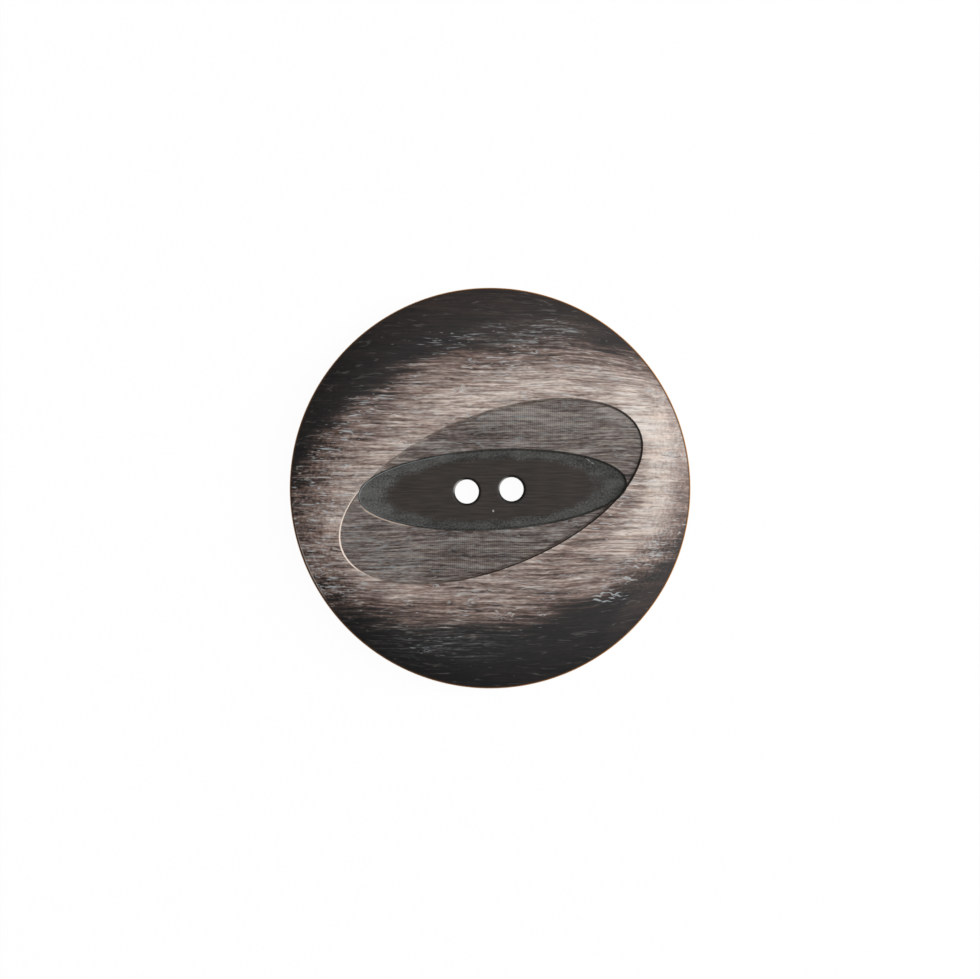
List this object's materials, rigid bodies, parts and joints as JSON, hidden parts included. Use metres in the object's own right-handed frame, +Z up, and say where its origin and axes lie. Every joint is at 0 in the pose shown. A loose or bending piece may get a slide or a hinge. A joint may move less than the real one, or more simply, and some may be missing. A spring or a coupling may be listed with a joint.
{
  "type": "two-hole coat button",
  "caption": "Large domed coat button with a slanted oval pocket, an eye-shaped hollow and a pair of sewing holes, in streaked horn-look resin.",
  "frame": {"origin": "centre of the flat back, on the surface that the button lies on", "axes": "+Z up through the face, +X along the line of the sewing holes, +Y across it"},
  "size_m": [0.0382, 0.0382, 0.0039],
  "materials": {
    "horn_resin": "satin cast polyester, dark brown-black with a pale, finely streaked field across the middle"
  },
  "bodies": {
    "root": {"button": "horn_resin"}
  },
  "joints": []
}
